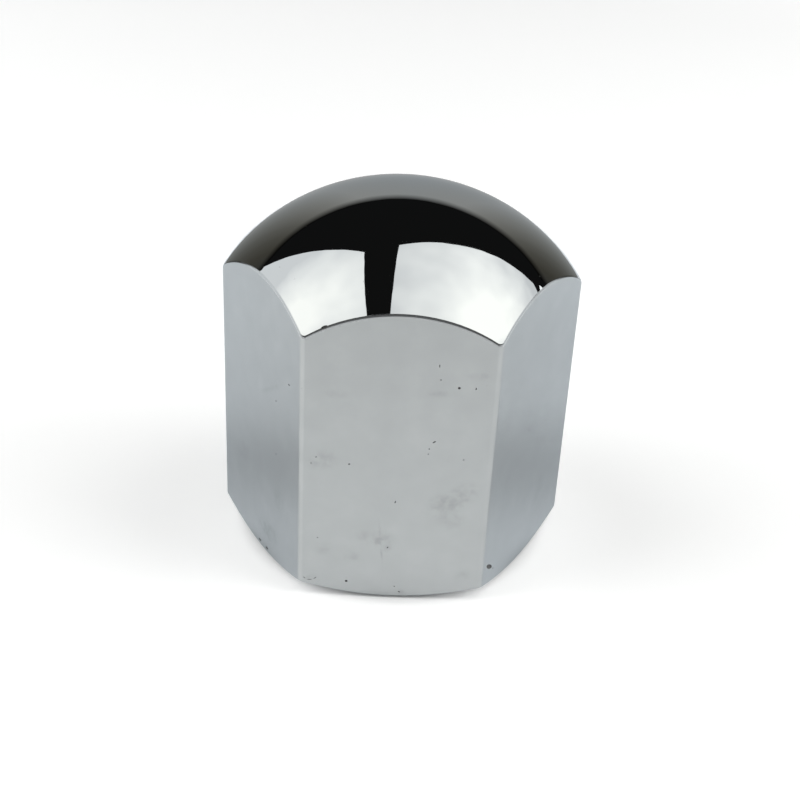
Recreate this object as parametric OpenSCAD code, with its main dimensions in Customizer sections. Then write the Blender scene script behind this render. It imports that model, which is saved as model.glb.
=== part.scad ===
// Domed cap nut, turned from hexagon bar in one piece. A spherical dome crosses the
// six flats in arcs, a chamfer takes the corners off underneath, and a blind tapped
// hole opens in the middle of the bearing face. The origin is the centre of the
// bearing face, with +Z along the axis towards the dome. The thread is shown as its
// core hole, at the minor diameter.

/* [Hexagon] */
// Distance between opposite flats, which is the spanner size
across_flats = 30; // [26:0.5:36]
// How far the six corners are turned back, which leaves a narrow land on each
corner_relief = 0.17; // [0.05:0.01:1]

/* [Dome] */
// Height from the bearing face to the top of the dome
nut_height = 36; // [30:0.5:45]
// Radius of the turned dome
dome_radius = 21.5; // [18:0.25:40]

/* [Bearing face] */
// How far the rim of the bearing ring stays inside the flats
bearing_inset = 0.45; // [0.1:0.05:1.5]
// Angle of the corner chamfer above the bearing face
chamfer_angle = 30; // [15:1:45]

/* [Tapped hole] */
// Nominal diameter of the thread
thread_d = 20; // [16:0.5:24]
// Pitch of the thread
thread_pitch = 2.5; // [1:0.25:3]
// How far the mouth of the countersink stands outside the thread
mouth_allowance = 0.75; // [0.2:0.05:2]
// Included angle of the countersink
mouth_angle = 120; // [80:1:140]
// Included angle of the drill point that ends the hole
drill_angle = 118; // [90:1:140]
// Metal left between the drill point and the top of the dome
crown_wall = 4.8; // [3:0.1:10]

/* [Hidden] */
$fn = 128;

// Length by which a cut or a blank runs past the faces that it trims
overrun = 1;
// Depth of an internal metric thread on the radius, as a share of its pitch
thread_depth_share = 5 * sqrt(3) / 16;

hex_corners = 6;
flat_turn = 180 / hex_corners;
corner_r = across_flats / 2 / cos(flat_turn);
turned_r = corner_r - corner_relief;

dome_centre_z = nut_height - dome_radius;

bearing_r = across_flats / 2 - bearing_inset;
chamfer_rise = (turned_r - bearing_r) * tan(chamfer_angle);

core_r = thread_d / 2 - thread_depth_share * thread_pitch;
mouth_r = thread_d / 2 + mouth_allowance;
mouth_depth = (mouth_r - core_r) / tan(mouth_angle / 2);
mouth_flare = overrun * tan(mouth_angle / 2);
drill_point = core_r / tan(drill_angle / 2);
hole_depth = nut_height - crown_wall - drill_point;

// Half section of everything that is turned below the dome: the bearing face, the
// chamfer that climbs from its rim and the land on the corners
module skirt_section() {
    polygon([
        [0, 0],
        [bearing_r, 0],
        [turned_r, chamfer_rise],
        [turned_r, nut_height + overrun],
        [0, nut_height + overrun]
    ]);
}

// Half section under the dome: a round top on a body wider than the bar
module dome_section() {
    translate([0, dome_centre_z]) circle(r = dome_radius);
    translate([0, dome_centre_z - nut_height])
        square([dome_radius, nut_height]);
}

// Hexagon bar after the lathe has shaped both of its ends
module turned_bar() {
    intersection() {
        translate([0, 0, -overrun])
            linear_extrude(height = nut_height + 2 * overrun)
                circle(r = corner_r, $fn = hex_corners);
        rotate_extrude() intersection() {
            skirt_section();
            dome_section();
        }
    }
}

// Countersunk blind hole: core of the thread and drill point
module tapped_hole() {
    rotate_extrude() polygon([
        [0, -overrun],
        [mouth_r + mouth_flare, -overrun],
        [core_r, mouth_depth],
        [core_r, hole_depth],
        [0, hole_depth + drill_point]
    ]);
}

// The whole nut, one solid of chromed steel
module cap_nut() {
    color([0.78, 0.80, 0.82]) difference() {
        turned_bar();
        tapped_hole();
    }
}

cap_nut();
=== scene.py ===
# %% [markdown]
# # A chromed cap nut
#
# This nut closes the end of a stud. It is turned from one bar of hexagonal steel: a
# lathe rounds the top into a dome, takes the corners off underneath and drills a blind
# hole, which is then tapped. After that it is polished and chrome plated.
#
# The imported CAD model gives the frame. Its origin is the centre of the bearing face,
# Z runs up the axis, and a corner of the hexagon lies on X. The CAD mesh could be dressed
# as it is, but a mirror shows every facet, so the nut is modelled again in the same place.

# %% Load the CAD frame
import math

import bmesh
import bpy
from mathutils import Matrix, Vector


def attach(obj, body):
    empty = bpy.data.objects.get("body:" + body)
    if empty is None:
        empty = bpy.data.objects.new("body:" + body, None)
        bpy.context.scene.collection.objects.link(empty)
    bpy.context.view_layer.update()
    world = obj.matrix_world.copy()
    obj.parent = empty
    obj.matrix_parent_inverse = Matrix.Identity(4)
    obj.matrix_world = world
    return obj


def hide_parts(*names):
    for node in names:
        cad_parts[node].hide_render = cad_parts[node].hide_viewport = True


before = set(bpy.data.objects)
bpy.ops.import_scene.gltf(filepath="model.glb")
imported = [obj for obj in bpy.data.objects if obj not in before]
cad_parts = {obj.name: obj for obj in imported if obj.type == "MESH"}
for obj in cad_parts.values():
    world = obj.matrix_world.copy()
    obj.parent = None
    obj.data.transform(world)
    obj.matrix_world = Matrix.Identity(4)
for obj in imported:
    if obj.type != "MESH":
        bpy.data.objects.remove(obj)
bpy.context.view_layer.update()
bpy.ops.object.select_all(action="DESELECT")

# %% [markdown]
# ## Sizes
#
# A maker thinks in millimetres and Blender in metres, so each length is written in
# millimetres and multiplied once. These are the sizes of the CAD model: a 30 mm spanner
# size, a dome of 21.5 mm radius, and the hole for an M20 thread with 2.5 mm pitch. They
# could be read off the CAD mesh, but a named size says what it is for.

# %% Sizes shared with the CAD model
mm = 0.001
hair = 0.001 * mm
corner_count = 6
half_corner = math.pi / corner_count

flat_distance = 15 * mm
corner_radius = flat_distance / math.cos(half_corner)
nut_height = 36 * mm
dome_radius = 21.5 * mm
dome_centre = Vector((0, 0, nut_height - dome_radius))
bearing_radius = 14.55 * mm
chamfer_slope = math.tan(math.radians(30))

thread_radius = 10 * mm
thread_pitch = 2.5 * mm
thread_depth_share = 5 * math.sqrt(3) / 16
core_radius = thread_radius - thread_depth_share * thread_pitch
mouth_allowance = 0.75 * mm
mouth_slope = math.tan(math.radians(60))
mouth_radius = thread_radius + mouth_allowance
mouth_depth = (mouth_radius - core_radius) / mouth_slope
crown_wall = 4.8 * mm
drill_slope = math.tan(math.radians(59))
drill_tip = nut_height - crown_wall
wall_end = drill_tip - core_radius / drill_slope
print(f"corner radius {corner_radius / mm:.3f} mm, core radius {core_radius / mm:.3f} mm")

# %% [markdown]
# ## Camera
#
# The photo looks down on the front flat at about 29 degrees, from 140 mm away, with the
# camera tilted a little. A camera can be set by eye and nudged until the outlines agree.
# Here its place and turn were worked out from the nut's corners, arcs and outline, so
# the model and the photo agree from the start.

# %% Set up the camera
bpy.ops.object.camera_add(
    location=(-2.058 * mm, -116.722 * mm, 78.284 * mm),
    rotation=(math.radians(60.908), math.radians(-2.623), math.radians(0.263)),
)
camera = bpy.context.object
camera.name = "photo_camera"
camera.data.sensor_width = 36
camera.data.lens = 59.525
camera.data.clip_start = mm
bpy.context.scene.camera = camera
print("camera stands", round(camera.location.length / mm), "mm from the bearing face")

# %% [markdown]
# ## Hexagon bar
#
# The real nut starts as bar stock. A cylinder with six sides is that bar. It stays open
# at both ends, because the dome and the underside grow out of its two rims. Polishing has
# rounded the six upright edges. A Bevel modifier could round every edge at once, but
# these edges need a size of their own, so they are picked and bevelled in edit mode.

# %% Helpers for edit mode
def choose(piece):
    """Selects one piece alone and makes it active."""
    bpy.ops.object.select_all(action="DESELECT")
    piece.select_set(True)
    bpy.context.view_layer.objects.active = piece


def start_edit(piece):
    """Opens one piece in edit mode with nothing selected."""
    choose(piece)
    bpy.ops.object.mode_set(mode="EDIT")
    bpy.ops.mesh.select_mode(type="EDGE")
    bpy.ops.mesh.select_all(action="DESELECT")


def end_edit():
    """Goes back to object mode."""
    bpy.ops.object.mode_set(mode="OBJECT")


def pick_edges(piece, wanted):
    """Selects the edges that pass a test and returns their number."""
    bpy.ops.mesh.select_all(action="DESELECT")
    mesh = bmesh.from_edit_mesh(piece.data)
    picked = [edge for edge in mesh.edges if wanted(edge)]
    for edge in picked:
        edge.select_set(True)
    bmesh.update_edit_mesh(piece.data)
    return len(picked)


def middle_of(edge):
    """Gives the point halfway along an edge."""
    return (edge.verts[0].co + edge.verts[1].co) / 2


print("edit helpers are ready")

# %% Cut the bar and round its upright edges
bar_top = 25 * mm
edge_rounding = 0.6 * mm
bpy.ops.mesh.primitive_cylinder_add(
    vertices=corner_count,
    radius=corner_radius,
    depth=bar_top,
    end_fill_type="NOTHING",
    location=(0, 0, bar_top / 2),
    rotation=(0, 0, half_corner),
)
nut = bpy.context.object
nut.name = "cap_nut_body"
bpy.ops.object.transform_apply(location=True, rotation=True, scale=True)

start_edit(nut)
upright = pick_edges(nut, lambda edge: abs(edge.verts[0].co.z - edge.verts[1].co.z) > mm)
bpy.ops.mesh.bevel(
    offset_type="OFFSET",
    offset=edge_rounding * math.tan(half_corner),
    segments=6,
    profile=0.5,
    affect="EDGES",
)
print("rounded", upright, "upright edges")

# %% [markdown]
# The dome crosses each flat in an arc, so the flats need many points along their rims.
# Loop cuts would do this by hand. Subdividing the top and bottom edge of each flat by the
# same number gives the same columns, and needs no mouse.

# %% Divide the flats into columns
flat_columns = 24
long_edge = 5 * mm
rims = pick_edges(nut, lambda edge: edge.is_boundary and edge.calc_length() > long_edge)
bpy.ops.mesh.subdivide(number_cuts=flat_columns - 1)
print("divided", rims, "rims into", flat_columns, "columns each")

# %% [markdown]
# ## Dome
#
# On the lathe, one round cut makes the whole top, and where it meets the flats it leaves
# six arcs. A Boolean with a ball would make the same cut, but with ragged faces that spoil
# a mirror. So the top rim is extruded inwards, ring by ring, until it closes in a flat
# lid. All its points are then projected straight up onto a fine ball with the Shrinkwrap
# modifier. Going straight up keeps the rim on the six flats, so the arcs appear by
# themselves.

# %% Close the top with rings
dome_rings = 36
rim_ring_share = 0.982
ring_shares = [rim_ring_share]
ring_shares += [ring / dome_rings for ring in range(dome_rings - 1, 0, -1)]

pick_edges(nut, lambda edge: edge.is_boundary and middle_of(edge).z > bar_top - hair)
last_share = 1
for share in ring_shares:
    bpy.ops.mesh.extrude_edges_move()
    shrink = share / last_share
    bpy.ops.transform.resize(value=(shrink, shrink, 1), center_override=(0, 0, 0))
    last_share = share
bpy.ops.mesh.extrude_edges_move()
bpy.ops.mesh.merge(type="CENTER")
end_edit()
print("lid has", len(ring_shares), "rings")

# %% A helper that projects part of the nut onto a form
def apply_modifiers(piece):
    """Applies every modifier of one piece, in order."""
    choose(piece)
    for modifier in list(piece.modifiers):
        bpy.ops.object.modifier_apply(modifier=modifier.name)


def project_up(piece, group_name, wanted, form):
    """Moves the points that pass a test straight up onto a form."""
    group = piece.vertex_groups.new(name=group_name)
    chosen = [point.index for point in piece.data.vertices if wanted(point.co)]
    group.add(chosen, 1, "REPLACE")
    wrap = piece.modifiers.new(group_name, "SHRINKWRAP")
    wrap.target = form
    wrap.wrap_method = "PROJECT"
    wrap.use_project_z = True
    wrap.use_positive_direction = True
    wrap.use_negative_direction = False
    wrap.vertex_group = group.name
    apply_modifiers(piece)
    heights = [piece.data.vertices[index].co.z / mm for index in chosen]
    print(f"{group_name}: {len(chosen)} points, {min(heights):.2f} to {max(heights):.2f} mm")


print("projection helper is ready")

# %% Turn the dome
bpy.ops.object.select_all(action="DESELECT")
bpy.ops.mesh.primitive_ico_sphere_add(
    subdivisions=7,
    radius=dome_radius,
    location=dome_centre,
)
dome_form = bpy.context.object
dome_form.name = "dome_form"
bpy.ops.object.transform_apply(location=True, rotation=True, scale=True)
bpy.ops.object.shade_smooth()
project_up(nut, "dome", lambda place: place.z > bar_top - hair, dome_form)

# %% [markdown]
# ## Corner chamfer and underside
#
# A cone takes the corners off underneath, so that they don't scrape when the nut is
# tightened. The bottom rim is projected onto that cone in the same way as the dome. From
# there the rim is extruded inwards and made round. Then it is scaled and moved to each
# circle of the underside in turn: the edge of the bearing face, the mouth of the
# countersink, the core of the thread, the end of the wall and the tip that the drill left.
# A spun profile would give the same hole, but it would not share its points with the
# hexagon above.

# %% Turn the chamfer under the corners
cone_height = 2.5 * mm
bpy.ops.object.select_all(action="DESELECT")
bpy.ops.mesh.primitive_cone_add(
    vertices=512,
    radius1=bearing_radius,
    radius2=bearing_radius + cone_height / chamfer_slope,
    depth=cone_height,
    end_fill_type="NOTHING",
    location=(0, 0, cone_height / 2),
)
chamfer_form = bpy.context.object
bpy.ops.object.transform_apply(location=True, rotation=True, scale=True)
project_up(nut, "chamfer", lambda place: abs(place.z) < hair, chamfer_form)
bpy.data.objects.remove(chamfer_form)

# %% Draw the underside inwards, circle by circle
def selected_radius(piece):
    """Gives the mean distance of the selected points from the axis."""
    mesh = bmesh.from_edit_mesh(piece.data)
    picked = [point.co.xy.length for point in mesh.verts if point.select]
    return sum(picked) / len(picked)


def scale_to_circle(radius):
    """Scales the selected ring about the axis to a radius."""
    factor = radius / selected_radius(nut)
    bpy.ops.transform.resize(value=(factor, factor, 1), center_override=(0, 0, 0))


start_edit(nut)
pick_edges(nut, lambda edge: edge.is_boundary)
bpy.ops.mesh.extrude_edges_move()
bpy.ops.transform.resize(value=(1, 1, 0), center_override=(0, 0, 0))
bpy.ops.transform.tosphere(value=1)
scale_to_circle(bearing_radius)

hole_circles = [(mouth_radius, 0), (core_radius, mouth_depth), (core_radius, wall_end)]
last_height = 0
for radius, height in hole_circles:
    bpy.ops.mesh.extrude_edges_move()
    scale_to_circle(radius)
    bpy.ops.transform.translate(value=(0, 0, height - last_height))
    last_height = height
bpy.ops.mesh.extrude_edges_move()
bpy.ops.mesh.merge(type="CENTER")
bpy.ops.transform.translate(value=(0, 0, drill_tip - wall_end))

bpy.ops.mesh.select_all(action="SELECT")
bpy.ops.mesh.remove_doubles(threshold=hair)
bpy.ops.mesh.normals_make_consistent(inside=False)
print("nut is closed with", len(bmesh.from_edit_mesh(nut.data).faces), "faces")

# %% [markdown]
# ## Soft edges
#
# No machined edge is perfectly sharp, and on chrome every edge catches a thin line of the
# room. The crown, where the dome crosses the flats, is rounded, and so are the lower edges
# of the flats and both rims of the bearing face. They are picked by the angle between their
# faces and by their place, because the crown is rounded more than the rest.

# %% Round the crown, the lower edges and the mouth
crown_rounding = 0.21 * mm
crown_turn = 30
lower_rounding = 0.12 * mm
lower_turn = 20
skirt_top = 3 * mm
rim_slack = 0.1 * mm
mouth_slack = 0.05 * mm


def turn_between(edge):
    """Gives the angle, in degrees, between the two faces at an edge."""
    return math.degrees(edge.calc_face_angle(0))


def soften(size, segments, wanted):
    """Bevels the edges that pass a test and returns their number."""
    count = pick_edges(nut, wanted)
    bpy.ops.mesh.bevel(
        offset_type="OFFSET",
        offset=size,
        segments=segments,
        profile=0.5,
        affect="EDGES",
    )
    return count


def is_crown(edge):
    """Is true on the arcs where the dome meets the flats."""
    on_outside = middle_of(edge).xy.length > bearing_radius
    return on_outside and middle_of(edge).z > bar_top and turn_between(edge) > crown_turn


def is_lower_edge(edge):
    """Is true on the arcs under the flats and on the rim of the bearing face."""
    on_outside = middle_of(edge).xy.length > bearing_radius - rim_slack
    return on_outside and middle_of(edge).z < skirt_top and turn_between(edge) > lower_turn


def is_mouth(edge):
    """Is true on the rim where the countersink opens in the bearing face."""
    off_rim = abs(middle_of(edge).xy.length - mouth_radius)
    return off_rim < mouth_slack and middle_of(edge).z < hair


crown_edges = soften(crown_rounding, 5, is_crown)
lower_edges = soften(lower_rounding, 3, is_lower_edge)
mouth_edges = soften(lower_rounding, 3, is_mouth)
end_edit()
print("rounded", crown_edges, "crown,", lower_edges, "lower and", mouth_edges, "mouth edges")

# %% [markdown]
# ## Finishes
#
# The nut needs four finishes, and each gets its own material. The dome is a clear mirror.
# The flats have the same plating, but handling has hazed them. The thread is bare
# cut steel, because plating hardly reaches into a blind hole. Small pits in the plating
# hold dirt. The materials are made empty here, so that the cuts which follow can hand
# their own finish to the faces that they leave. Their nodes come later.

# %% Make the four materials and give the faces theirs
def new_material(name):
    """Makes a plain material that has nodes."""
    material = bpy.data.materials.new(name)
    material.use_nodes = True
    return material


dome_chrome = new_material("mirror_chrome")
flat_chrome = new_material("hazed_chrome")
cut_steel = new_material("cut_steel")
pit_dirt = new_material("pit_dirt")
for material in (flat_chrome, dome_chrome, cut_steel):
    nut.data.materials.append(material)


def paint_faces(slot_number, wanted):
    """Gives one material slot to the faces that pass a test."""
    start_edit(nut)
    bpy.ops.mesh.select_mode(type="FACE")
    mesh = bmesh.from_edit_mesh(nut.data)
    picked = [face for face in mesh.faces if wanted(face)]
    for face in picked:
        face.select_set(True)
    bmesh.update_edit_mesh(nut.data)
    nut.active_material_index = slot_number
    bpy.ops.object.material_slot_assign()
    end_edit()
    return len(picked)


def on_ball(place):
    """Is true for points of the dome, apart from its rounded rim."""
    off_ball = abs((place - dome_centre).length - dome_radius)
    return place.z > bar_top and off_ball < 4 * hair


def is_dome(face):
    """Is true for the faces of the dome."""
    return all(on_ball(corner.co) for corner in face.verts)


def is_hole(face):
    """Is true inside the hole, beyond the countersink."""
    centre = face.calc_center_median()
    return centre.xy.length < core_radius + hair and mm < centre.z < drill_tip


print("dome faces:", paint_faces(1, is_dome), "hole faces:", paint_faces(2, is_hole))

# %% [markdown]
# ## Thread
#
# A tap cuts the real thread, so the script makes a tap. Its tooth is drawn point by point
# for one pitch: two flanks at 60 degrees with a narrow flat at the root of the thread. The
# Screw modifier winds it up the axis as a right-hand helix, and two cuts with fill give it
# flat ends. Its core is thinner than the drilled hole, so only the teeth touch the metal.
# A helix could be drawn straight onto the wall of the hole, but taking the tap away with a
# Boolean also lets the countersink run out into the first turns, as it does in steel. The
# cut leaves some points almost on top of each other, so they are merged.

# %% Draw one tooth of the tap
tap_clearance = 0.15 * mm
tap_core = core_radius - tap_clearance
tooth_depth = thread_radius - tap_core
flank_slope = math.tan(math.radians(30))
flank_rise = tooth_depth * flank_slope
root_flat = thread_pitch / 8
core_flat = thread_pitch - root_flat - 2 * flank_rise
tap_start = -2 * thread_pitch

bpy.ops.object.select_all(action="DESELECT")
bpy.ops.mesh.primitive_plane_add(size=mm, location=(0, 0, 0))
tap = bpy.context.object
tap.name = "tap"
start_edit(tap)
bpy.ops.mesh.select_mode(type="VERT")
bpy.ops.mesh.select_all(action="SELECT")
bpy.ops.mesh.merge(type="CENTER")
bpy.ops.transform.translate(value=(tap_core, 0, tap_start))
tooth = [(0, core_flat), (tooth_depth, flank_rise), (0, root_flat), (-tooth_depth, flank_rise)]
for outwards, upwards in tooth:
    move = {"value": (outwards, 0, upwards)}
    bpy.ops.mesh.extrude_vertices_move(TRANSFORM_OT_translate=move)
end_edit()
print("tooth has", len(tap.data.vertices), "points")

# %% Wind the tap
tap_turns = 14
steps_per_turn = 72
winding = tap.modifiers.new("wind", "SCREW")
winding.axis = "Z"
winding.angle = math.tau
winding.screw_offset = thread_pitch
winding.iterations = tap_turns
winding.steps = steps_per_turn
winding.render_steps = steps_per_turn
winding.use_merge_vertices = True
winding.merge_threshold = hair
apply_modifiers(tap)
print("tap winds", tap_turns, "turns with", len(tap.data.polygons), "faces")

# %% Cut the ends of the tap flat
def trim(height, **side):
    """Cuts the tap across at a height, closes the cut and drops one side."""
    bpy.ops.mesh.select_all(action="SELECT")
    bpy.ops.mesh.bisect(
        plane_co=(0, 0, height),
        plane_no=(0, 0, 1),
        use_fill=True,
        **side,
    )


tap_depth = 22 * mm
start_edit(tap)
bpy.ops.mesh.select_all(action="SELECT")
bpy.ops.mesh.remove_doubles(threshold=hair)
trim(-mm, clear_inner=True)
trim(tap_depth, clear_outer=True)
bpy.ops.mesh.select_all(action="SELECT")
bpy.ops.mesh.normals_make_consistent(inside=False)
open_edges = pick_edges(tap, lambda edge: len(edge.link_faces) != 2)
end_edit()
print("tap has", open_edges, "open edges")

# %% Cut the thread
def cut_with(tool, finish):
    """Takes a tool's shape out of the nut, leaves its finish and throws the tool away."""
    tool.data.materials.clear()
    tool.data.materials.append(finish)
    cut = nut.modifiers.new("cut", "BOOLEAN")
    cut.operation = "DIFFERENCE"
    cut.solver = "EXACT"
    cut.material_mode = "TRANSFER"
    cut.object = tool
    apply_modifiers(nut)
    bpy.data.objects.remove(tool)


cut_with(tap, cut_steel)
start_edit(nut)
bpy.ops.mesh.select_all(action="SELECT")
bpy.ops.mesh.remove_doubles(threshold=hair / 2)
end_edit()
print("nut with its thread has", len(nut.data.polygons), "faces")

# %% [markdown]
# ## Pits
#
# The plating has small pits, and there is a nick on the front arc of the crown. Bump
# could draw them, but it is lost in a mesh file, so each one is a real dent. A small
# ball is set against a flat so that only its cap dips in, and stretched where the pit is
# long. All the balls are joined and cut away at once. Each flat is named by the angle that
# it faces. The numbers are, for each pit, the place along its flat and up the nut, its
# length and width, and its turn, in millimetres and degrees.

# %% List the pits of each flat
pits = {
    270: [
        (-4.15, 1.80, 0.27, 0.24, 0),
        (0.12, 11.00, 0.28, 0.11, 75),
        (-4.22, 14.90, 0.20, 0.14, 10),
        (3.33, 17.58, 0.36, 0.12, 35),
        (2.92, 16.84, 0.15, 0.10, 80),
        (2.86, 16.30, 0.14, 0.09, 80),
        (5.20, 23.18, 0.25, 0.23, 0),
        (6.68, 23.18, 0.26, 0.10, 85),
        (3.36, 25.27, 0.32, 0.08, 88),
        (3.55, 23.92, 0.15, 0.09, 0),
        (6.09, 15.84, 0.14, 0.10, 40),
        (-7.23, 15.51, 0.15, 0.10, 20),
        (-7.67, 14.85, 0.13, 0.09, 0),
        (-6.96, 6.69, 0.14, 0.10, 0),
        (-0.38, 5.88, 0.18, 0.12, 60),
        (-7.65, 1.82, 0.46, 0.07, 4),
        (-8.16, 2.02, 0.26, 0.06, -38),
        (-7.14, 2.02, 0.34, 0.07, 36),
        (0.45, 1.40, 0.16, 0.10, 0),
        (0.92, 0.78, 0.26, 0.09, -25),
    ],
    330: [
        (-7.05, 3.13, 1.50, 0.45, -35),
        (-6.10, 2.36, 0.20, 0.16, 20),
        (-0.77, 15.29, 0.26, 0.11, -30),
    ],
    210: [
        (3.54, 18.63, 0.26, 0.12, 20),
        (6.26, 21.65, 0.34, 0.14, 0),
        (3.54, 12.92, 0.20, 0.11, 0),
        (-0.24, 0.76, 0.55, 0.26, 0),
        (1.44, 0.78, 0.60, 0.26, 10),
    ],
    150: [(4.4, 9.1, 0.30, 0.20, 15), (-2.2, 20.8, 0.22, 0.12, 50), (1.3, 14.6, 0.16, 0.1, 0)],
    90: [(-3.6, 13.7, 0.34, 0.13, 40), (5.1, 22.4, 0.24, 0.22, 0), (1.2, 5.3, 0.2, 0.12, 85)],
    30: [(-4.9, 18.9, 0.26, 0.14, 25), (2.7, 7.4, 0.30, 0.18, 65), (3.9, 20.3, 0.15, 0.1, 0)],
}
print("listed", sum(len(marks) for marks in pits.values()), "pits")

# %% Set balls where the pits are
pit_depth_share = 0.22
pit_balls = []


def flat_axes(flat_angle):
    """Gives the directions out of a flat and along it."""
    turn = math.radians(flat_angle)
    outwards = Vector((math.cos(turn), math.sin(turn), 0))
    return outwards, Vector((-outwards.y, outwards.x, 0))


def set_ball(place, radius, stretch, turn):
    """Adds a small ball at a place, with its X axis turned outwards."""
    bpy.ops.mesh.primitive_ico_sphere_add(
        subdivisions=3,
        radius=radius,
        location=place,
        rotation=turn,
        scale=stretch,
    )
    pit_balls.append(bpy.context.object)


for flat_angle, marks in pits.items():
    outwards, along = flat_axes(flat_angle)
    for across, up, length, width, turn in marks:
        depth = pit_depth_share * width * mm
        ball_radius = ((width * mm / 2) ** 2 + depth**2) / (2 * depth)
        place = outwards * (flat_distance + ball_radius - depth)
        place += along * across * mm + Vector((0, 0, up * mm))
        set_ball(
            place,
            ball_radius,
            (1, length / width, 1),
            (math.radians(turn), 0, math.radians(flat_angle)),
        )
print("set", len(pit_balls), "balls")

# %% Add the nick and cut all the pits
nick_radius = 0.15 * mm
nick_stretch = 2.2
nick_across = -6.73 * mm
nick_lift = Vector((0, 0.115, 0.125)) * mm
arc_height = math.sqrt(dome_radius**2 - flat_distance**2 - nick_across**2)
nick_slope = math.atan2(-nick_across, arc_height)
arc_place = Vector((nick_across, -flat_distance, dome_centre.z + arc_height))
nick_turn = (nick_slope, 0, math.radians(270))
set_ball(arc_place + nick_lift, nick_radius, (1, nick_stretch, 1), nick_turn)

bpy.ops.object.select_all(action="DESELECT")
for ball in pit_balls:
    ball.select_set(True)
bpy.context.view_layer.objects.active = pit_balls[0]
bpy.ops.object.join()
pit_tool = bpy.context.object
bpy.ops.object.transform_apply(location=True, rotation=True, scale=True)
cut_with(pit_tool, pit_dirt)
print("nut with its pits has", len(nut.data.polygons), "faces")

# %% [markdown]
# ## Smooth shading
#
# The nut is shaded smooth. Edges that turn by more than 30 degrees stay sharp, and so do the
# rims of the pits, which would otherwise bend the mirror around them. The Weighted Normal
# modifier lets large faces decide at the rounded edges, so the flats stay flat. The dome
# has to mirror like a true ball. More faces would come close to that, but copying the
# normals of the form that it was turned on gets there with far fewer.

# %% Shade the nut
choose(nut)
bpy.ops.object.shade_smooth_by_angle(angle=math.radians(30))

pit_slot = nut.data.materials.find(pit_dirt.name)


def is_pit_rim(edge):
    """Is true where a pit meets the plating."""
    in_pit = [face.material_index == pit_slot for face in edge.link_faces]
    return any(in_pit) and not all(in_pit)


start_edit(nut)
pit_rims = pick_edges(nut, is_pit_rim)
bpy.ops.mesh.mark_sharp()
end_edit()
weighting = nut.modifiers.new("even normals", "WEIGHTED_NORMAL")
weighting.keep_sharp = True
apply_modifiers(nut)
nut.vertex_groups.clear()
print("shaded", len(nut.data.polygons), "faces and kept", pit_rims, "pit edges sharp")

# %% Copy the ball's normals to the dome
dome_points = [point.index for point in nut.data.vertices if on_ball(point.co)]
dome_group = nut.vertex_groups.new(name="dome")
dome_group.add(dome_points, 1, "REPLACE")
mirror_form = nut.modifiers.new("true ball", "DATA_TRANSFER")
mirror_form.object = dome_form
mirror_form.use_loop_data = True
mirror_form.data_types_loops = {"CUSTOM_NORMAL"}
mirror_form.loop_mapping = "POLYINTERP_NEAREST"
mirror_form.vertex_group = dome_group.name
apply_modifiers(nut)
nut.vertex_groups.clear()
bpy.data.objects.remove(dome_form)
print("copied normals to", len(dome_points), "points of the dome")

# %% [markdown]
# ## Mirror chrome
#
# On the dome the plating is as good as new: a clear, slightly blue grey mirror. One
# colour and one roughness would make it look like a computer's chrome. Real plating
# follows the steel under it, so a faint, wide waviness bends the edges of what it mirrors.
# Wiping it leaves a breath of haze that comes and goes, and a few dull specks. All of them
# are noise on Object coordinates, so they stay where they are when the nut turns.

# %% Helpers for material nodes
def add_node(material, kind, **inputs):
    """Adds one node and sets its inputs, written with _ for a space."""
    node = material.node_tree.nodes.new(kind)
    for name, value in inputs.items():
        node.inputs[name.replace("_", " ")].default_value = value
    return node


def connect(material, source, target, input_name, output=0):
    """Leads an output of one node to an input of another."""
    material.node_tree.links.new(source.outputs[output], target.inputs[input_name])


def add_noise(material, scale, detail):
    """Adds noise on Object coordinates, with its scale in ripples per metre."""
    coordinates = add_node(material, "ShaderNodeTexCoord")
    noise = add_node(material, "ShaderNodeTexNoise", Scale=scale, Detail=detail)
    connect(material, coordinates, noise, "Vector", "Object")
    return noise


def add_range(material, source, low, high, start=0.3, end=0.7, output=0):
    """Stretches a value to another range. Most noise runs from 0.3 to 0.7."""
    stretch = add_node(
        material,
        "ShaderNodeMapRange",
        From_Min=start,
        From_Max=end,
        To_Min=low,
        To_Max=high,
    )
    connect(material, source, stretch, "Value", output)
    return stretch


def add_blend(material, source, first, second):
    """Blends two colours by a value from 0 to 1."""
    blend = add_node(material, "ShaderNodeValToRGB")
    blend.color_ramp.elements[0].color = (*first, 1)
    blend.color_ramp.elements[1].color = (*second, 1)
    connect(material, source, blend, "Fac")
    return blend


def add_math(material, operation, first, second, first_output=0):
    """Combines two values with one operation."""
    step = add_node(material, "ShaderNodeMath")
    step.operation = operation
    connect(material, first, step, 0, first_output)
    connect(material, second, step, 1)
    return step


def add_bump(material, source, depth):
    """Turns a pattern into a fine relief of a depth in metres."""
    bump = add_node(material, "ShaderNodeBump", Strength=1, Distance=depth)
    connect(material, source, bump, "Height")
    connect(material, bump, metal_of(material), "Normal")


def metal_of(material):
    """Gives the shader of a material."""
    return material.node_tree.nodes["Principled BSDF"]


print("node helpers are ready")

# %% Finish the dome
chrome_edge_tint = (0.80, 0.85, 0.905, 1)


def plate(material):
    """Gives a material what all of the plating has in common."""
    metal_of(material).inputs["Metallic"].default_value = 1
    metal_of(material).inputs["Specular Tint"].default_value = chrome_edge_tint


plate(dome_chrome)
dome_waves = add_noise(dome_chrome, 330, 2)
add_bump(dome_chrome, dome_waves, 0.006 * mm)

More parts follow.
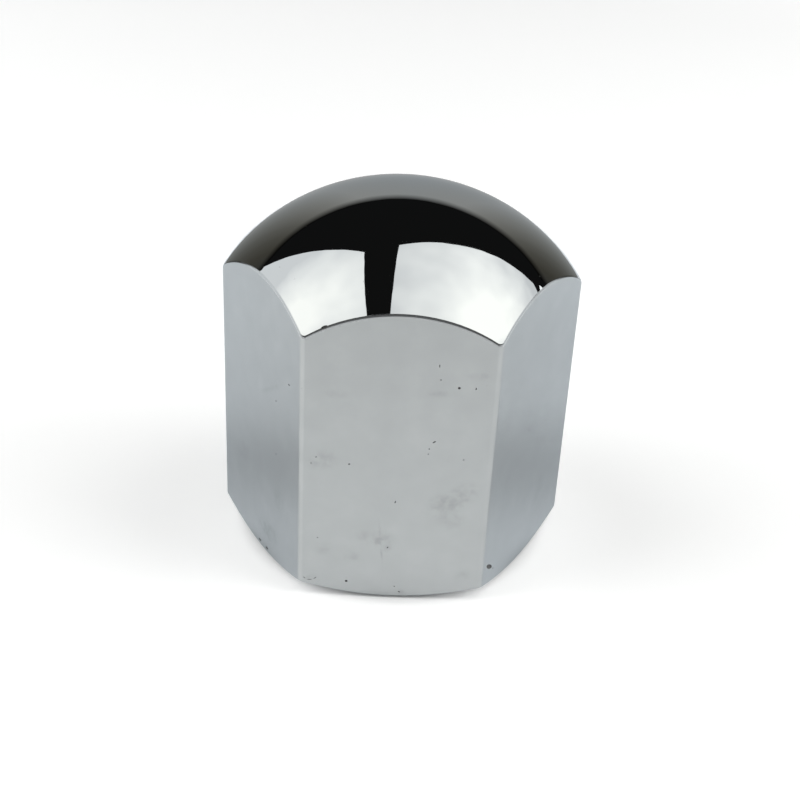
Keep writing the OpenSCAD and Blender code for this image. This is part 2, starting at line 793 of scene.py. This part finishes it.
dome_haze = add_noise(dome_chrome, 160, 5)
dome_colour = add_blend(dome_chrome, dome_haze, (0.462, 0.478, 0.480), (0.448, 0.464, 0.472))
connect(dome_chrome, dome_colour, metal_of(dome_chrome), "Base Color")
dome_dulling = add_range(dome_chrome, dome_haze, 0.012, 0.035, 0.4, 0.75)
dome_specks = add_range(dome_chrome, add_noise(dome_chrome, 1500, 3), 0, 0.35, 0.74, 0.8)
dome_roughness = add_math(dome_chrome, "ADD", dome_dulling, dome_specks)
connect(dome_chrome, dome_roughness, metal_of(dome_chrome), "Roughness")
print("mirror chrome has", len(dome_chrome.node_tree.nodes), "nodes")

# %% [markdown]
# ## Hazed chrome
#
# The flats have the same plating, but spanners and fingers have dulled it. They show the
# white paper as an even soft grey, with a fine grain, dark specks, and a few smudges. A
# painted image could hold the smudges, but this file keeps to nodes. Each smudge is a
# soft oval: a Mapping node moves to its place, turns and scales it, and the length of the
# result is 0 in the middle and 1 at the rim. A grain breaks it up, so it looks like
# residue and not like an airbrush. The numbers are those of the pits, and a strength.

# %% Helpers for soft ovals
def add_length(material, source, output=0):
    """Measures how long a vector is. The result is the output called Value."""
    length = add_node(material, "ShaderNodeVectorMath")
    length.operation = "LENGTH"
    connect(material, source, length, 0, output)
    return length


def add_soft_range(material, source, low, high, start, end):
    """Stretches a length to another range, and starts and stops softly."""
    stretch = add_range(material, source, low, high, start, end, "Value")
    stretch.interpolation_type = "SMOOTHSTEP"
    return stretch


def add_oval(material, place, turn, size):
    """Gives 0 in the middle of an oval and 1 at its rim, as the output called Value."""
    coordinates = add_node(material, "ShaderNodeTexCoord")
    move = add_node(material, "ShaderNodeMapping", Location=place, Rotation=turn, Scale=size)
    move.vector_type = "TEXTURE"
    connect(material, coordinates, move, "Vector", "Object")
    return add_length(material, move)


def add_smudge(material, place, turn, size, strength):
    """Adds a soft oval that falls from a strength in its middle to nothing."""
    oval = add_oval(material, place, turn, size)
    return add_soft_range(material, oval, strength, 0, 0, 1)


print("oval helpers are ready")

# %% List the smudges of each flat
smudges = {
    270: [
        (-5.3, 22.1, 4.4, 1.3, 0, 0.4),
        (3.6, 22.5, 3.6, 1.0, 2, 0.4),
        (7.0, 24.4, 2.8, 1.1, 0, 0.4),
        (-6.7, 15.2, 4.2, 2.8, 10, 0.5),
        (6.2, 12.0, 5.0, 3.4, 40, 0.6),
        (4.9, 11.0, 5.6, 3.6, 25, 0.6),
        (5.3, 9.2, 4.0, 2.8, 0, 0.45),
        (-1.0, 6.6, 3.6, 2.8, 0, 0.7),
        (-0.4, 6.0, 1.5, 1.7, 0, 0.7),
        (-1.03, 6.2, 0.34, 7.0, 6, 0.9),
        (-2.7, 7.1, 2.2, 1.8, 0, 0.35),
        (-3.6, 4.6, 2.4, 1.8, 0, 0.35),
        (-6.4, 5.4, 2.6, 2.2, 30, 0.3),
        (-7.4, 2.1, 2.0, 1.0, 10, 0.5),
        (1.0, 0.8, 1.6, 0.9, 0, 0.5),
        (6.9, 3.0, 2.4, 1.6, 30, 0.35),
    ],
    210: [
        (2.3, 19.3, 9.0, 0.8, 33, 0.35),
        (1.8, 3.0, 6.4, 3.6, 10, 0.7),
        (4.2, 8.2, 4.0, 3.0, 60, 0.4),
        (-4.0, 9.0, 4.6, 3.4, 20, 0.3),
    ],
    330: [(-2.4, 16.5, 5.2, 2.4, 20, 0.2), (3.1, 6.6, 5.0, 3.2, 70, 0.25)],
    150: [(1.6, 14.2, 4.8, 2.8, 30, 0.6), (-4.4, 5.0, 3.2, 2.2, 0, 0.6)],
    90: [(-2.2, 19.6, 4.6, 1.6, 5, 0.5), (3.7, 9.4, 4.4, 3.2, 50, 0.7)],
    30: [(2.5, 15.5, 4.6, 2.4, 70, 0.5), (-3.5, 8.2, 3.6, 3.0, 0, 0.6)],
}
print("listed", sum(len(marks) for marks in smudges.values()), "smudges")

# %% Place the smudges on the flats
smudge_depth = 2 * mm
all_smudges = None
for flat_angle, marks in smudges.items():
    outwards, along = flat_axes(flat_angle)
    for across, up, length, width, turn, strength in marks:
        place = outwards * flat_distance + along * across * mm + Vector((0, 0, up * mm))
        smudge = add_smudge(
            flat_chrome,
            place,
            (math.radians(turn), 0, math.radians(flat_angle)),
            (smudge_depth, length / 2 * mm, width / 2 * mm),
            strength,
        )
        if all_smudges is None:
            all_smudges = smudge
        else:
            all_smudges = add_math(flat_chrome, "MAXIMUM", all_smudges, smudge)
print("placed smudges on", len(smudges), "flats")

# %% Finish the flats
plate(flat_chrome)
residue_grain = add_range(flat_chrome, add_noise(flat_chrome, 1500, 9), 0.08, 0.44, 0.38, 0.62)
residue = add_math(flat_chrome, "MULTIPLY", all_smudges, residue_grain)
handling = add_noise(flat_chrome, 420, 8)
haze = add_range(flat_chrome, handling, 0.22, 0.3)
specks = add_range(flat_chrome, add_noise(flat_chrome, 5200, 2), 0, 0.3, 0.7, 0.78)
dulling = add_math(flat_chrome, "ADD", haze, residue)
dulling = add_math(flat_chrome, "ADD", dulling, specks)
print("residue and specks are laid over the haze")

# %% [markdown]
# The rounded upright edges are lighter than the flats beside them, most of all on the left:
# partly rubbed wear and partly a painted highlight. Edge wear could be painted, or found
# from the curvature of the mesh. Here it is simply what lies farther from the axis than the
# flats reach.

# %% Rub the upright edges bright and paint their highlight
half_flat = corner_radius / 2 - edge_rounding * math.tan(half_corner)
flat_reach = math.hypot(flat_distance, half_flat)
edge_band_start = flat_reach - 0.02 * mm
edge_band_end = flat_reach + 0.07 * mm
edge_side_span = 9 * mm
edge_place = add_node(flat_chrome, "ShaderNodeTexCoord")
flatten = add_node(flat_chrome, "ShaderNodeMapping", Scale=(1, 1, 0))
connect(flat_chrome, edge_place, flatten, "Vector", "Object")
from_axis = add_length(flat_chrome, flatten)
edge_band = add_soft_range(flat_chrome, from_axis, 0, 1, edge_band_start, edge_band_end)
sides = add_node(flat_chrome, "ShaderNodeSeparateXYZ")
connect(flat_chrome, edge_place, sides, "Vector", "Object")
# Lighter edges, strongest on the left: partly rubbed wear, partly a painted highlight.
rub_and_highlight = add_range(flat_chrome, sides, 0.1, 0.025, -edge_side_span, edge_side_span, "X")
burnish_and_highlight = add_math(flat_chrome, "MULTIPLY", edge_band, rub_and_highlight)
dulling_and_highlight = add_math(flat_chrome, "SUBTRACT", dulling, burnish_and_highlight)

plain_chrome = (0.403, 0.421, 0.427)
flat_colour = add_blend(flat_chrome, dulling_and_highlight, (0.51, 0.527, 0.527), (0.222, 0.236, 0.234))
usual_wear = flat_colour.color_ramp.elements.new(0.25)
usual_wear.color = (*plain_chrome, 1)
connect(flat_chrome, flat_colour, metal_of(flat_chrome), "Base Color")
flat_roughness = add_range(flat_chrome, dulling_and_highlight, 0.1, 0.34, 0, 1)
connect(flat_chrome, flat_roughness, metal_of(flat_chrome), "Roughness")
add_bump(flat_chrome, handling, 0.004 * mm)
print("hazed chrome has", len(flat_chrome.node_tree.nodes), "nodes")

# %% [markdown]
# ## Cut steel and dirt
#
# Inside the hole the tap leaves a darker, duller metal with fine lines around the axis.
# A Wave texture could draw the lines, but they would be too even. Noise that is squeezed
# along the axis makes lines that start and stop. The plating thins out in the first turns,
# so the height in the hole blends from chrome to bare steel. The dirt in the pits is a
# dark, rough crust.

# %% Finish the thread
metal_of(cut_steel).inputs["Metallic"].default_value = 1
tool_lines = add_noise(cut_steel, 100, 6)
squeeze = add_node(cut_steel, "ShaderNodeMapping", Scale=(1, 1, 60))
lines_place = add_node(cut_steel, "ShaderNodeTexCoord")
connect(cut_steel, lines_place, squeeze, "Vector", "Object")
connect(cut_steel, squeeze, tool_lines, "Vector")

split_height = add_node(cut_steel, "ShaderNodeSeparateXYZ")
connect(cut_steel, lines_place, split_height, "Vector", "Object")
plating_end = 9 * mm
bareness = add_range(cut_steel, split_height, 0, 0.6, mouth_depth, plating_end, "Z")
bare_lines = add_math(cut_steel, "MULTIPLY", bareness, add_range(cut_steel, tool_lines, 0, 0.7))
steel_tone = add_math(cut_steel, "ADD", bareness, bare_lines)
steel_colour = add_blend(cut_steel, steel_tone, plain_chrome, (0.22, 0.212, 0.203))
light_steel = steel_colour.color_ramp.elements.new(0.5)
light_steel.color = (0.36, 0.357, 0.35, 1)
connect(cut_steel, steel_colour, metal_of(cut_steel), "Base Color")
steel_roughness = add_range(cut_steel, steel_tone, 0.18, 0.45, 0, 1)
connect(cut_steel, steel_roughness, metal_of(cut_steel), "Roughness")
add_bump(cut_steel, tool_lines, 0.02 * mm)
print("cut steel has", len(cut_steel.node_tree.nodes), "nodes")

# %% Finish the pits
crust = add_noise(pit_dirt, 9000, 4)
dirt_colour = add_blend(pit_dirt, crust, (0.125, 0.126, 0.124), (0.045, 0.046, 0.047))
connect(pit_dirt, dirt_colour, metal_of(pit_dirt), "Base Color")
dirt_roughness = add_range(pit_dirt, crust, 0.55, 0.85)
connect(pit_dirt, dirt_roughness, metal_of(pit_dirt), "Roughness")
add_bump(pit_dirt, crust, 0.01 * mm)
print("pit dirt has", len(pit_dirt.node_tree.nodes), "nodes")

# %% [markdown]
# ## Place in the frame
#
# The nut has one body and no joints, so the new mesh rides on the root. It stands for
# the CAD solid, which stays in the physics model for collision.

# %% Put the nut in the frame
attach(nut, "root")
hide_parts("cap_nut")

# %% [markdown]
# ## Paper sweep
#
# In the photo the nut stands on white paper with no horizon behind it. For that view a
# plain disc would do. But chrome mirrors the whole room, and other views look across the
# floor. So the disc's edge is extruded into a wall and bevelled, which bends it like the
# paper roll in a studio.
#
# The paper's own light makes it white for the camera and in the metal. It is added to
# what the lamps give, so the nut still throws its shadow.

# %% Bend the paper up at its edge
sweep_radius = 1300 * mm
sweep_height = 500 * mm
sweep_bend = 300 * mm
bpy.ops.object.select_all(action="DESELECT")
bpy.ops.mesh.primitive_circle_add(vertices=128, radius=sweep_radius, fill_type="NGON")
sweep = bpy.context.object
sweep.name = "paper_sweep"
start_edit(sweep)
pick_edges(sweep, lambda edge: edge.is_boundary)
bpy.ops.mesh.extrude_edges_move(TRANSFORM_OT_translate={"value": (0, 0, sweep_height)})
pick_edges(sweep, lambda edge: not edge.is_boundary and middle_of(edge).z < hair)
bpy.ops.mesh.bevel(offset=sweep_bend, segments=24, profile=0.5, affect="EDGES")
end_edit()
print("paper sweep has", len(sweep.data.polygons), "faces")

# %% White paper
def bare_material(name):
    """Makes a material with no nodes."""
    material = new_material(name)
    material.node_tree.nodes.clear()
    return material


def cover(piece, material, shader):
    """Ends a material with a shader and gives it to a piece."""
    end = add_node(material, "ShaderNodeOutputMaterial")
    connect(material, shader, end, "Surface")
    piece.data.materials.append(material)


paper = bare_material("white_paper")
sheet = add_node(paper, "ShaderNodeBsdfDiffuse", Color=(0.8, 0.8, 0.8, 1))
print("paper is white and dull")

# %% Let the paper's own light stop at the nut
def add_glow(start, end, level):
    """Adds a glow that starts at one distance from the nut and is full at another."""
    return add_soft_range(paper, from_nut, 0, level, start, end)


paper_place = add_node(paper, "ShaderNodeTexCoord")
from_nut = add_length(paper, paper_place, "Object")
# Right at the foot of the nut the paper glows a little more, and a ring from 18 to 26 mm a
# little less: painted light and painted shade around the nut.
close_glow = add_glow(14 * mm, 16.6 * mm, 0.38)
shade_ring = add_glow(18 * mm, 26 * mm, -0.04)
far_glow = add_glow(45 * mm, 500 * mm, 0.21)
wall_glow = add_glow(240 * mm, 460 * mm, 0.3)
paper_level = close_glow
for band in (shade_ring, far_glow, wall_glow):
    paper_level = add_math(paper, "ADD", paper_level, band)
print("paper adds a third of its white itself, and more towards the wall")

# %% Show the paper's own light to the camera and in the metal
rays = add_node(paper, "ShaderNodeLightPath")
seen = add_node(paper, "ShaderNodeMath")
seen.operation = "ADD"
connect(paper, rays, seen, 0, "Is Camera Ray")
connect(paper, rays, seen, 1, "Is Glossy Ray")
glow_level = add_math(paper, "MULTIPLY", seen, paper_level)
glow = add_node(paper, "ShaderNodeEmission")
connect(paper, glow_level, glow, "Strength")
both = add_node(paper, "ShaderNodeAddShader")
connect(paper, sheet, both, 0)
connect(paper, glow, both, 1)
cover(sweep, paper, both)
print("white paper has", len(paper.node_tree.nodes), "nodes")

# %% [markdown]
# ## Light tent
#
# A mirror has no colour of its own to light. It shows the lamps and the dark between
# them, so a chrome nut is lit by shaping what stands around it. The photo shows two large
# white panels overhead with a dark gap between them, darkness towards the camera, and a
# grey card behind the nut, which fades towards its ends and its top. Area lamps could
# stand for the panels, but they are rectangles. A panel that is drawn as a mesh can have
# the real outline, and its outer edge can be pulled down to the floor as the side of the
# tent. A dim cloth hangs in front, so that the dark there isn't empty.

# %% Draw the two sides of the tent
roof_height = 351
tent_side = 720
tent_front = -185
side_gap = 5


def draw_card(name, corners):
    """Makes one flat card from its corner points, in millimetres."""
    bpy.ops.object.select_all(action="DESELECT")
    bpy.ops.mesh.primitive_circle_add(vertices=len(corners), radius=mm, fill_type="NGON")
    card = bpy.context.object
    card.name = name
    for point, corner in zip(card.data.vertices, corners):
        point.co = Vector(corner) * mm
    card.visible_camera = False
    return card


def pull_side_down(card):
    """Pulls the outer edge of a roof panel down, almost to the floor."""
    start_edit(card)
    pick_edges(card, lambda edge: abs(middle_of(edge).x) > tent_side * mm - hair)
    down = {"value": (0, 0, (side_gap - roof_height) * mm)}
    bpy.ops.mesh.extrude_edges_move(TRANSFORM_OT_translate=down)
    end_edit()


left_corners = [
    (-94, 74), (-191, 134), (-308, 215), (-429, 306), (-611, 452), (-666, 477),
    (-tent_side, 490), (-tent_side, tent_front), (-106, tent_front),
]
right_corners = [
    (-10, 90), (-36, tent_front), (tent_side, tent_front), (tent_side, 215),
    (600, 246), (560, 264), (503, 280), (401, 248), (283, 207), (125, 138),
]
strip_corners = [(574, 346), (597, 275), (715, 285), (715, 395), (655, 395)]
left_tent = draw_card("left_tent", [(x, y, roof_height) for x, y in left_corners])
right_tent = draw_card("right_tent", [(x, y, roof_height) for x, y in right_corners])
tent_strip = draw_card("tent_strip", [(x, y, roof_height) for x, y in strip_corners])
pull_side_down(left_tent)
pull_side_down(right_tent)
print("tent is", roof_height, "mm high")

# %% Light the tent
hot_spot_depth = 400
hot_core = 0.3
hot_rim = 1.2
fold_depth = 0.16
strip_level = 2


def new_glow(card):
    """Gives a card a material that only emits light and returns both parts of it."""
    material = bare_material(card.name)
    emission = add_node(material, "ShaderNodeEmission")
    cover(card, material, emission)
    return material, emission


def add_hot_spot(material, middle, size):
    """Gives how near a point is to the lamp behind the cloth, from 1 to 0."""
    place = Vector((*middle, roof_height)) * mm
    reach = Vector((*size, hot_spot_depth)) * mm
    away = add_oval(material, place, (0, 0, 0), reach)
    folds = add_range(material, add_noise(material, 7, 2), -fold_depth, fold_depth)
    uneven = add_math(material, "ADD", away, folds, "Value")
    return add_range(material, uneven, 1, 0, hot_core, hot_rim)


hot_spots = (
    (left_tent, (-350, -70), (360, 200), 1.3, 2.07),
    (right_tent, (300, -55), (310, 280), 1.2, 2.16),
)
for tent, middle, size, low, high in hot_spots:
    material, emission = new_glow(tent)
    hot_spot = add_hot_spot(material, middle, size)
    cloth_level = add_range(material, hot_spot, low, high, 0, 1)
    connect(material, cloth_level, emission, "Strength")
    cloth_colour = add_blend(material, hot_spot, (0.975, 0.99, 1), (1, 0.995, 0.95))
    connect(material, cloth_colour, emission, "Color")
material, emission = new_glow(tent_strip)
emission.inputs["Strength"].default_value = strip_level
print("tent cloth is lit by", len(hot_spots), "hot spots")

# %% Hang a dim cloth in front
def show_in_metal_only(card):
    """Lets a card light and shade nothing, so that it only shows in the metal."""
    card.visible_diffuse = False
    card.visible_shadow = False


def stand_card(name, half_width, distance, low, high):
    """Stands a card upright, in millimetres, which only the metal shows."""
    corners = [(-half_width, low), (half_width, low), (half_width, high), (-half_width, high)]
    card = draw_card(name, [(x, distance, z) for x, z in corners])
    show_in_metal_only(card)
    return card


dim_level = 0.2
front_cloth = stand_card("front_cloth", half_width=600, distance=-550, low=160, high=640)
material, emission = new_glow(front_cloth)
emission.inputs["Strength"].default_value = dim_level
print("front cloth is much darker than the tent")

# %% Stand the grey card behind the nut
card_levels = [(40, 0.49), (60, 0.38), (80, 0.28), (100, 0.19), (120, 0.135), (150, 0.09)]
card_half = 200
card_distance = 130
card_height = 131
card_middle = 6 * mm
fade_start = 110 * mm
fade_end = 130 * mm
green_loss = 0.1
blue_loss = 0.35
grey_card = stand_card("grey_card", card_half, card_distance, 0, card_height)
material, emission = new_glow(grey_card)
coordinates = add_node(material, "ShaderNodeTexCoord")
split = add_node(material, "ShaderNodeSeparateXYZ")
connect(material, coordinates, split, "Vector", "Object")
off_middle = add_node(material, "ShaderNodeMath")
off_middle.operation = "SUBTRACT"
off_middle.inputs[1].default_value = card_middle
connect(material, split, off_middle, 0, "X")
sideways = add_node(material, "ShaderNodeMath")
sideways.operation = "ABSOLUTE"
connect(material, off_middle, sideways, 0)
card_share = add_range(material, sideways, 0, 1, 0, card_half * mm)
card_fade = add_blend(material, card_share, (0.49, 0.49, 0.475), (0.06, 0.06, 0.055))
for place, level in card_levels:
    share = place / card_half
    stop = card_fade.color_ramp.elements.new(share)
    green = level * (1 - green_loss * share)
    blue = level * (1 - blue_loss * share)
    stop.color = (level, green, blue, 1)
connect(material, card_fade, emission, "Color")
soft_top = add_range(material, split, 1, 0, fade_start, fade_end, "Z")
connect(material, soft_top, emission, "Strength")
print("grey card fades over", card_half, "mm to each side and softly at the top")

# %% [markdown]
# The side flats are darker towards the foot, because they mirror the paper beside the nut,
# which lies in shade, and the front flat is a little darker towards the top. Soft dark ovals
# of painted shade, flat on the paper, deepen that shade. It could be painted on the paper
# instead, but the paper has to look white. So the painted shade is hidden from the camera,
# and only the metal shows it.

# %% Lay painted shade beside the nut and in front of it
def lay_painted_shade(name, centre, half_size, density):
    """Lays a soft oval of painted shade on the paper, darkest in its middle, in millimetres."""
    painted_shade_height = 0.3
    corner_steps = 48
    corners = []
    for step in range(corner_steps):
        angle = math.tau * step / corner_steps
        x = centre[0] + half_size[0] * math.cos(angle)
        y = centre[1] + half_size[1] * math.sin(angle)
        corners.append((x, y, painted_shade_height))
    painted_shade = draw_card(name, corners)
    show_in_metal_only(painted_shade)
    material = bare_material(name)
    see_through = add_node(material, "ShaderNodeBsdfTransparent")
    painted_dark = add_node(material, "ShaderNodeBsdfDiffuse", Color=(0, 0, 0, 1))
    middle = Vector((*centre, painted_shade_height)) * mm
    size = Vector((*half_size, half_size[0])) * mm
    shade_density = add_smudge(material, middle, (0, 0, 0), size, density)
    # The mix is the painted shade: black in the middle of the oval, clear at its rim.
    cloth = add_node(material, "ShaderNodeMixShader")
    connect(material, shade_density, cloth, "Fac")
    connect(material, see_through, cloth, 1)
    connect(material, painted_dark, cloth, 2)
    cover(painted_shade, material, cloth)


lay_painted_shade("left_painted_shade", (-27, 1), (11.8, 20), 0.2)
lay_painted_shade("right_painted_shade", (28.5, 3), (16, 24), 0.22)
lay_painted_shade("far_painted_shade", (54, 24), (28, 28), 0.08)
lay_painted_shade("front_painted_shade", (0, -78), (50, 46), 0.085)
print("gauze lies on both sides and in front")

# %% [markdown]
# The panels light the paper from above. Two lamps at the sides make the paper as bright
# as the photo shows, and each throws a soft shadow of the nut to the other side. They are
# kept out of the mirror, because the tent already stands for them there.

# %% Set the side lamps
def side_lamp(name, side):
    """Sets one soft lamp beside the nut, aimed at it."""
    place = Vector((side * 380, -100, 330)) * mm
    middle = Vector((0, 0, 15)) * mm
    aim = (middle - place).to_track_quat("-Z", "Y").to_euler()
    bpy.ops.object.light_add(type="AREA", location=place, rotation=aim)
    lamp = bpy.context.object
    lamp.name = name
    lamp.data.size = 300 * mm
    lamp.data.energy = 1.1
    lamp.data.color = (0.97, 0.985, 1)
    lamp.visible_glossy = False


side_lamp("left_lamp", -1)
side_lamp("right_lamp", 1)
room = bpy.data.worlds.new("dark_room")
room.use_nodes = True
room.node_tree.nodes["Background"].inputs["Color"].default_value = (0.01, 0.01, 0.01, 1)
bpy.context.scene.world = room
bpy.context.scene.view_settings.view_transform = "Standard"
print("two side lamps are set")
